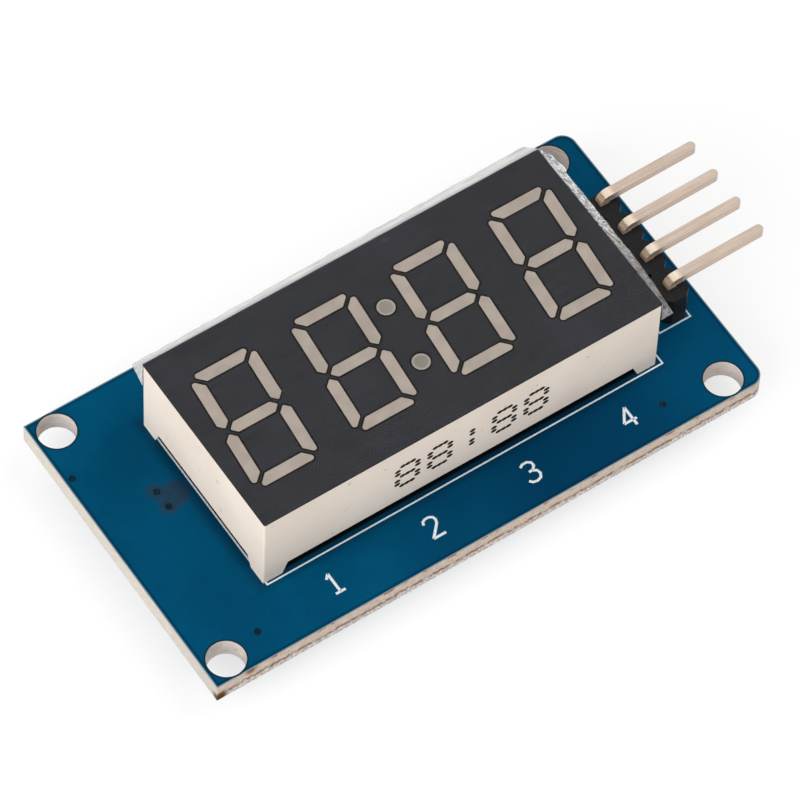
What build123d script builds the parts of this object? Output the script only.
from build123d import *
from math import cos, radians, sin, sqrt, tan
import os

# Four-digit seven-segment display module: a driver board with its display and its pin header.
# Millimetres. The origin is the middle of the mounting holes on the board's back face.
# +X is the reading direction, +Y the top of the digits and +Z the way the digits face.

# Display
display_length = 30.1
display_depth = 14.0
display_height = 7.15
housing_wall = 0.9
housing_edge_radius = 0.12
foot_length = 1.43
foot_flare = 0.4
recess_height = 1.05
mask_thickness = 0.12

# Circuit board: its room on each side of the display, and its mounting holes' distance from its edges
board_left_room = 6.52
board_right_room = 5.38
board_front_room = 4.74
board_rear_room = 3.96
board_thickness = 1.6
board_corner_radius = 1.0
hole_diameter = 2.6
hole_left_rim = 0.31
hole_right_rim = 1.09
hole_side_rim = 0.15

# Digits and colon on the display's face, with slant in degrees
digit_count = 4
digit_row_margin = 0.05
digit_spacing = 2.68
digit_end_margin = 2.39
digit_slant = 4.8
segment_width = 0.82
segment_gap = 0.33
segment_tip_radius = 0.2
segment_corner_radius = 0.1
colon_diameter = 1.21
colon_spacing = 4.57
cavity_floor_share = 0.5

# Inside of the display
seal_setback = 0.05
seal_thickness = 0.4
substrate_thickness = 0.6
substrate_clearance = 0.1
die_side = 0.3
die_height = 0.15

# Display pins
display_pin_pitch = 2.54
display_pins_per_row = 6
display_row_inset = 1.92
display_pin_diameter = 0.5
display_pin_clearance = 0.15
display_pin_tail = 1.5

# Pin header at the board's right edge
header_pitch = 2.54
header_count = 4
header_edge_inset = 2.29
header_body_width = 1.9
header_body_height = 2.6
header_cut_end = 0.62
header_notch = 0.45
header_pin_width = 0.64
header_pin_clearance = 0.05
header_pin_tail = 1.5
header_pin_reach = 4.97
header_pin_rise = 0.12
header_bend_radius = 0.45
header_tip_share = 0.48

# Driver chip under the board, between the display's pin rows, with draft in degrees
chip_end_margin = 0.585
chip_row_gap = 1.18
chip_thickness = 1.7
chip_standoff = 0.1
chip_draft = 8.0
chip_leads_per_side = 10
chip_lead_pitch = 1.27
chip_lead_reach = 1.25
chip_lead_width = 0.4
chip_lead_thickness = 0.2
chip_lead_root = 0.5
chip_lead_shoulder = 0.3
chip_lead_foot = 0.6
chip_dot_diameter = 0.9
chip_dot_depth = 0.08
chip_dot_inset = 1.3

# Chip resistors and capacitors under the board, in columns counted from the header
passive_length = 1.6
passive_width = 0.8
resistor_height = 0.45
capacitor_height = 0.8
passive_terminal = 0.35
passive_terminal_proud = 0.03
passive_column_inset = 3.6
passive_column_pitch = 3.3
passive_row_pitch = 2.3

# Solder
solder_height = 0.9
solder_pad_margin = 0.35
solder_lip = 0.06
solder_sag_share = 0.12
solder_wedge_length = 0.25
solder_wedge_height = 0.3
solder_toe_height = 0.15

# Protective film, with flap angles in degrees below level
film_thickness = 0.1
film_flap_length = 2.2
film_rear_angle = 51.0
film_right_angle = 58.0

# Sizes and places worked out from the values above
board_length = board_left_room + display_length + board_right_room
board_depth = board_front_room + display_depth + board_rear_room
hole_spacing_x = board_length - hole_diameter - hole_left_rim - hole_right_rim
hole_spacing_y = board_depth - hole_diameter - 2 * hole_side_rim
board_left = -hole_spacing_x / 2 - hole_diameter / 2 - hole_left_rim
board_right = board_left + board_length
board_x = board_left + board_length / 2
display_left = board_left + board_left_room
display_right = display_left + display_length
display_front = -board_depth / 2 + board_front_room
display_rear = display_front + display_depth
display_x = display_left + display_length / 2
display_y = display_front + display_depth / 2
digit_pitch = (display_length - 2 * digit_row_margin) / digit_count
digit_width = digit_pitch - digit_spacing
digit_height = display_depth - 2 * digit_end_margin
display_row_spacing = display_depth - 2 * display_row_inset
display_pin_hole = display_pin_diameter + 2 * display_pin_clearance
header_pin_hole = header_pin_width * sqrt(2) + 2 * header_pin_clearance
chip_length = (chip_leads_per_side - 1) * chip_lead_pitch + 2 * chip_end_margin
chip_lead_span = display_row_spacing - 2 * chip_row_gap
chip_width = chip_lead_span - 2 * chip_lead_reach
face_z = board_thickness + display_height
mask_z = face_z - mask_thickness
seal_z = board_thickness + recess_height + seal_setback
substrate_z = seal_z + seal_thickness
chips_z = substrate_z + substrate_thickness
pocket_length = display_length - 2 * housing_wall
pocket_depth = display_depth - 2 * housing_wall
slant = tan(radians(digit_slant))
display_seat = Plane((display_x, display_y, board_thickness))
header_x = board_right - header_edge_inset
header_top = board_thickness + header_body_height
chip_middle_z = -chip_standoff - chip_thickness / 2
row_ys = {"upper": display_y + display_row_spacing / 2, "lower": display_y - display_row_spacing / 2}
display_pin_places = [
    (display_x + (k - (display_pins_per_row - 1) / 2) * display_pin_pitch, row_y)
    for row_y in row_ys.values()
    for k in range(display_pins_per_row)
]
header_pin_places = [
    (header_x, display_y + ((header_count - 1) / 2 - k) * header_pitch) for k in range(header_count)
]

os.makedirs("parts", exist_ok=True)


def keep(piece, name):
    """Label a finished piece and write it to its own file."""
    piece.label = name
    export_step(piece, f"parts/{name}.step")


def strip_outline(centre_line, thickness):
    """Closed outline of a strip along a bent centre line, mitred at its bends."""
    points = [Vector(*point) for point in centre_line]
    runs = [(after - before).normalized() for before, after in zip(points, points[1:])]
    left, right = [], []
    for point, before, after in zip(points, [runs[0]] + runs, runs + [runs[-1]]):
        bisector = (before + after).normalized()
        across = Vector(-bisector.Y, bisector.X) * (thickness / 2 / bisector.dot(after))
        left.append(point + across)
        right.append(point - across)
    return left + right[::-1]


# Circuit board with its mounting holes and the holes that take the display's and the header's pins
with BuildPart() as circuit_board:
    with BuildSketch() as board_outline:
        with Locations((board_x, 0)):
            Rectangle(board_length, board_depth)
        fillet(board_outline.vertices().group_by(Axis.X)[-1], board_corner_radius)
        with GridLocations(hole_spacing_x, hole_spacing_y, 2, 2):
            Circle(hole_diameter / 2, mode=Mode.SUBTRACT)
        with Locations(*display_pin_places):
            Circle(display_pin_hole / 2, mode=Mode.SUBTRACT)
        with Locations(*header_pin_places):
            Circle(header_pin_hole / 2, mode=Mode.SUBTRACT)
    extrude(amount=board_thickness)
keep(circuit_board.part, "circuit_board")

# Segments of a digit: the two ends of each as shares of the half width and half height between bar axes.
# An end on the middle bar comes to a point, and an end at a corner of the digit is mitred.
segment_end_shares = {
    "a": ((-1, 1), (1, 1)),
    "b": ((1, 0), (1, 1)),
    "c": ((1, 0), (1, -1)),
    "d": ((-1, -1), (1, -1)),
    "e": ((-1, 0), (-1, -1)),
    "f": ((-1, 0), (-1, 1)),
    "g": ((-1, 0), (1, 0)),
}
arm_x = (digit_width - segment_width) / 2
arm_y = (digit_height - segment_width) / 2
bar_half = segment_width / 2
setback = segment_gap / sqrt(2)


def slanted(point):
    """A point of an upright digit, leaned over with the digit."""
    return Vector(point.X + slant * point.Y, point.Y)


def segment_outline(letter):
    """Middle of one segment, its corners from there and their radii, about the digit's centre."""
    start, end = [Vector(x * arm_x, y * arm_y) for x, y in segment_end_shares[letter]]
    along = (end - start).normalized()
    outward = Vector(-along.Y, along.X)
    if outward.dot(start + end) < 0:
        outward = -outward
    rounds = []
    for node, inward in ((start, along), (end, -along)):
        if node.Y == 0:
            corners = [(setback + bar_half, bar_half), (setback, 0), (setback + bar_half, -bar_half)]
            radii = [segment_corner_radius] * len(corners)
        else:
            corners = [(setback - bar_half, bar_half), (setback + bar_half, -bar_half)]
            radii = [segment_tip_radius, segment_corner_radius]
        rounds.append([(node + inward * s + outward * t, radius) for (s, t), radius in zip(corners, radii)])
    loop = rounds[0] + rounds[1][::-1]
    middle = slanted((start + end) / 2)
    return middle, [slanted(corner) - middle for corner, _ in loop], [radius for _, radius in loop]


def light_cavity(place, corners, radii):
    """Tapered cavity from the face down to the light chips, with the outline of one segment."""
    with BuildPart() as cavity:
        for level, share in ((face_z, 1), (chips_z, cavity_floor_share)):
            with BuildSketch(Plane((place.X, place.Y, level))):
                with BuildLine():
                    FilletPolyline(
                        [corner * share for corner in corners],
                        radius=[radius * share for radius in radii],
                        close=True,
                    )
                make_face()
        loft(ruled=True)
    return cavity.part


def colon_cavity(place):
    """Tapered round cavity of one colon dot."""
    with BuildPart(Plane((place.X, place.Y, chips_z))) as cavity:
        Cone(
            colon_diameter / 2 * cavity_floor_share,
            colon_diameter / 2,
            face_z - chips_z,
            align=(Align.CENTER, Align.CENTER, Align.MIN),
        )
    return cavity.part


cavities = {}
cavity_places = {}
for digit in range(digit_count):
    digit_centre = Vector(display_x + (digit - (digit_count - 1) / 2) * digit_pitch, display_y)
    for letter in segment_end_shares:
        segment_middle, segment_corners, segment_radii = segment_outline(letter)
        plug_name = f"digit_{digit + 1}_segment_{letter}"
        cavity_places[plug_name] = digit_centre + segment_middle
        cavities[plug_name] = light_cavity(cavity_places[plug_name], segment_corners, segment_radii)
for level, side in (("upper", 1), ("lower", -1)):
    plug_name = f"colon_dot_{level}"
    cavity_places[plug_name] = Vector(display_x, display_y) + slanted(Vector(0, side * colon_spacing / 2))
    cavities[plug_name] = colon_cavity(cavity_places[plug_name])


def light_chip(place, mode=Mode.ADD):
    """One light chip on the substrate, added to or cut from the open part."""
    with Locations((place.X, place.Y, chips_z)):
        Box(die_side, die_side, die_height, align=(Align.CENTER, Align.CENTER, Align.MIN), mode=mode)


# Light chips, one under each cavity
with BuildPart() as led_dies:
    for cavity_place in cavity_places.values():
        light_chip(cavity_place)
keep(led_dies.part, "led_dies")

# Light plugs, cast in the cavities around the light chips
for plug_name, cavity_solid in cavities.items():
    with BuildPart() as light_plug:
        add(cavity_solid)
        light_chip(cavity_places[plug_name], mode=Mode.SUBTRACT)
    keep(light_plug.part, plug_name)

# Reflector housing on four corner feet, open at the back
with BuildPart() as display_housing:
    with BuildSketch(display_seat) as housing_outline:
        Rectangle(display_length, display_depth)
        fillet(housing_outline.vertices(), housing_edge_radius)
    extrude(amount=display_height - mask_thickness)
    with BuildSketch(display_seat):
        Rectangle(pocket_length, pocket_depth)
    extrude(amount=chips_z - board_thickness, mode=Mode.SUBTRACT)
    for seat_plane, side_length in (
        (Plane(display_seat.origin, x_dir=(1, 0, 0), z_dir=(0, -1, 0)), display_length),
        (Plane(display_seat.origin, x_dir=(0, 1, 0), z_dir=(1, 0, 0)), display_depth),
    ):
        recess_half = side_length / 2 - foot_length
        with BuildSketch(seat_plane):
            Polygon(
                (-recess_half, 0),
                (recess_half, 0),
                (recess_half - foot_flare, recess_height),
                (foot_flare - recess_half, recess_height),
                align=None,
            )
        extrude(amount=display_length, both=True, mode=Mode.SUBTRACT)
    add(cavities.values(), mode=Mode.SUBTRACT)
keep(display_housing.part, "display_housing")

# Black mask over the housing's front, open at each cavity
with BuildPart() as face_mask:
    with BuildSketch(Plane((display_x, display_y, mask_z))) as mask_outline:
        Rectangle(display_length, display_depth)
        fillet(mask_outline.vertices(), housing_edge_radius)
    extrude(amount=mask_thickness)
    add(cavities.values(), mode=Mode.SUBTRACT)
keep(face_mask.part, "face_mask")

# Display pins, from the substrate's front through the board
pin_rows = {}
for row_name, row_y in row_ys.items():
    with BuildPart(Plane((display_x, row_y, -display_pin_tail))) as pin_row:
        with GridLocations(display_pin_pitch, 0, display_pins_per_row, 1):
            Cylinder(
                display_pin_diameter / 2,
                chips_z + display_pin_tail,
                align=(Align.CENTER, Align.CENTER, Align.MIN),
            )
    pin_rows[row_name] = pin_row.part
    keep(pin_row.part, f"display_pins_{row_name}_row")

# Substrate that carries the light chips, and the epoxy seal behind it
with BuildPart() as led_substrate:
    with BuildSketch(Plane((display_x, display_y, substrate_z))):
        Rectangle(pocket_length - 2 * substrate_clearance, pocket_depth - 2 * substrate_clearance)
    extrude(amount=substrate_thickness)
    add(pin_rows.values(), mode=Mode.SUBTRACT)
keep(led_substrate.part, "led_substrate")

with BuildPart() as back_seal:
    with BuildSketch(Plane((display_x, display_y, seal_z))):
        Rectangle(pocket_length, pocket_depth)
    extrude(amount=seal_thickness)
    add(pin_rows.values(), mode=Mode.SUBTRACT)
keep(back_seal.part, "back_seal")

# Header pins: up through the board and the plastic, then bent out over the board's right edge
header_pins = []
bend_z = header_top + header_bend_radius
for k, (pin_x, pin_y) in enumerate(header_pin_places):
    with BuildPart() as header_pin:
        with BuildLine(Plane((0, pin_y, 0), x_dir=(1, 0, 0), z_dir=(0, -1, 0))):
            FilletPolyline(
                (pin_x, -header_pin_tail),
                (pin_x, bend_z),
                (board_right + header_pin_reach, bend_z + header_pin_rise),
                radius=header_bend_radius,
            )
        with BuildSketch(Plane((pin_x, pin_y, -header_pin_tail))):
            Rectangle(header_pin_width, header_pin_width)
        sweep()
        tip_face = header_pin.faces().sort_by(Axis.X)[-1]
        fillet(tip_face.edges().filter_by(Axis.Y, reverse=True), header_pin_width * header_tip_share)
    header_pins.append(header_pin.part)
    keep(header_pin.part, f"header_pin_{k + 1}")

# Header plastic: one notched cell for each pin, with the first cell cut short behind its pin
with BuildPart() as header_body:
    with BuildSketch(Plane.XY.offset(board_thickness)):
        for pin_place in header_pin_places:
            with BuildSketch(Plane.XY, mode=Mode.PRIVATE) as header_cell:
                Rectangle(header_body_width, header_pitch)
                chamfer(header_cell.vertices(), header_notch)
            with Locations(pin_place):
                add(header_cell.sketch)
    extrude(amount=header_body_height)
    cut_y = header_pin_places[0][1] + header_cut_end
    split(bisect_by=Plane((0, cut_y, 0), z_dir=(0, 1, 0)), keep=Keep.BOTTOM)
    add(header_pins, mode=Mode.SUBTRACT)
keep(header_body.part, "header_body")

# Gull-wing leads of the driver chip, on both long sides
lead_outline = strip_outline(
    (
        (chip_width / 2 - chip_lead_root, chip_middle_z),
        (chip_width / 2 + chip_lead_shoulder, chip_middle_z),
        (chip_lead_span / 2 - chip_lead_foot, -chip_lead_thickness / 2),
        (chip_lead_span / 2, -chip_lead_thickness / 2),
    ),
    chip_lead_thickness,
)
lead_xs = [(k - (chip_leads_per_side - 1) / 2) * chip_lead_pitch for k in range(chip_leads_per_side)]
with BuildPart() as driver_chip_leads:
    for side in (1, -1):
        for lead_x in lead_xs:
            with BuildSketch(Plane((display_x + lead_x, display_y, 0), x_dir=(0, side, 0), z_dir=(side, 0, 0))):
                Polygon(*lead_outline, align=None)
    extrude(amount=chip_lead_width / 2, both=True)
keep(driver_chip_leads.part, "driver_chip_leads")

# Moulded body of the driver chip, with the dimple that marks its first lead
with BuildPart() as driver_chip:
    with BuildSketch(Plane((display_x, display_y, chip_middle_z))):
        Rectangle(chip_length, chip_width)
    extrude(amount=chip_thickness / 2, both=True, taper=chip_draft)
    with BuildSketch(Plane((display_x, display_y, -chip_standoff - chip_thickness))):
        with Locations((chip_dot_inset - chip_length / 2, chip_width / 2 - chip_dot_inset)):
            Circle(chip_dot_diameter / 2)
    extrude(amount=chip_dot_depth, mode=Mode.SUBTRACT)
    add(driver_chip_leads.part, mode=Mode.SUBTRACT)
keep(driver_chip.part, "driver_chip")

# Resistors and capacitors: a block between two slightly proud end terminals
passive_cells = {
    "resistor_1": (1, 1, resistor_height),
    "resistor_2": (1, 0, resistor_height),
    "capacitor_1": (0, 1, capacitor_height),
    "capacitor_2": (0, 0, capacitor_height),
    "capacitor_3": (0, -1, capacitor_height),
    "capacitor_4": (1, -1, capacitor_height),
}
passive_places = {
    name: (
        header_x - passive_column_inset - column * passive_column_pitch,
        display_y + row * passive_row_pitch,
    )
    for name, (column, row, _) in passive_cells.items()
}
hang_down = (Align.CENTER, Align.CENTER, Align.MAX)
for name, (_, _, height) in passive_cells.items():
    with BuildPart(Plane(passive_places[name])) as passive:
        with Locations((0, 0, -passive_terminal_proud)):
            Box(
                passive_length - 2 * passive_terminal,
                passive_width - 2 * passive_terminal_proud,
                height - 2 * passive_terminal_proud,
                align=hang_down,
            )
        with GridLocations(passive_length - passive_terminal, 0, 2, 1):
            Box(passive_terminal, passive_width, height, align=hang_down)
    keep(passive.part, name)


def solder_joints(places, hole, pin_radius, pins):
    """Solder in the holes at these places, with a hollowed cone round each pin's tail."""
    pad_radius = hole / 2 + solder_pad_margin
    tip_radius = pin_radius + solder_lip
    with BuildPart() as joint:
        with BuildSketch(Plane.XZ):
            with BuildLine():
                Polyline(
                    (tip_radius, -solder_height),
                    (0, -solder_height),
                    (0, board_thickness),
                    (hole / 2, board_thickness),
                    (hole / 2, 0),
                    (pad_radius, 0),
                )
                SagittaArc((pad_radius, 0), (tip_radius, -solder_height), -solder_sag_share * solder_height)
            make_face()
        revolve(axis=Axis.Z)
    with BuildPart() as joints:
        with Locations(*places):
            add(joint.part)
        add(pins, mode=Mode.SUBTRACT)
    return joints.part


display_joints = solder_joints(
    display_pin_places, display_pin_hole, display_pin_diameter / 2, pin_rows.values()
)
keep(display_joints, "display_solder_joints")
header_joints = solder_joints(header_pin_places, header_pin_hole, header_pin_width / sqrt(2), header_pins)
keep(header_joints, "header_solder_joints")

# Solder at the toes of the chip's leads
with BuildPart() as chip_solder_joints:
    for side in (1, -1):
        for lead_x in lead_xs:
            with BuildSketch(Plane((display_x + lead_x, display_y, 0), x_dir=(0, side, 0), z_dir=(side, 0, 0))):
                Polygon(
                    (chip_lead_span / 2, 0),
                    (chip_lead_span / 2 + solder_wedge_length, 0),
                    (chip_lead_span / 2, -solder_toe_height),
                    align=None,
                )
    extrude(amount=chip_lead_width / 2, both=True)
keep(chip_solder_joints.part, "chip_solder_joints")

# Solder at both ends of the resistors and capacitors
with BuildPart() as passive_solder_joints:
    for place_x, place_y in passive_places.values():
        for side in (1, -1):
            with BuildSketch(Plane((place_x, place_y, 0), x_dir=(side, 0, 0), z_dir=(0, -side, 0))):
                Polygon(
                    (passive_length / 2, 0),
                    (passive_length / 2 + solder_wedge_length, 0),
                    (passive_length / 2, -solder_wedge_height),
                    align=None,
                )
    extrude(amount=passive_width / 2, both=True)
keep(passive_solder_joints.part, "passive_solder_joints")

# Protective film on the face, with flaps that hang over its rear and right edges
film_z = face_z + film_thickness / 2


def film_line(start, edge, angle):
    """Centre line of the film: level from its start to the face's edge, then down at an angle below level."""
    bend = edge + film_thickness / 2 * tan(radians(angle) / 2)
    drop = radians(angle)
    flap_end = (bend + film_flap_length * cos(drop), film_z - film_flap_length * sin(drop))
    return (start, film_z), (bend, film_z), flap_end


rear_sheet = film_line(display_front, display_rear, film_rear_angle)
right_sheet = film_line(display_left, display_right, film_right_angle)
with BuildPart() as protective_film:
    with BuildSketch(Plane((display_left, 0, 0), x_dir=(0, 1, 0), z_dir=(1, 0, 0))):
        Polygon(*strip_outline(rear_sheet, film_thickness), align=None)
    extrude(amount=display_length)
    with BuildSketch(Plane((0, display_rear, 0), x_dir=(1, 0, 0), z_dir=(0, -1, 0))):
        Polygon(*strip_outline(right_sheet, film_thickness), align=None)
    extrude(amount=display_depth)
keep(protective_film.part, "protective_film")
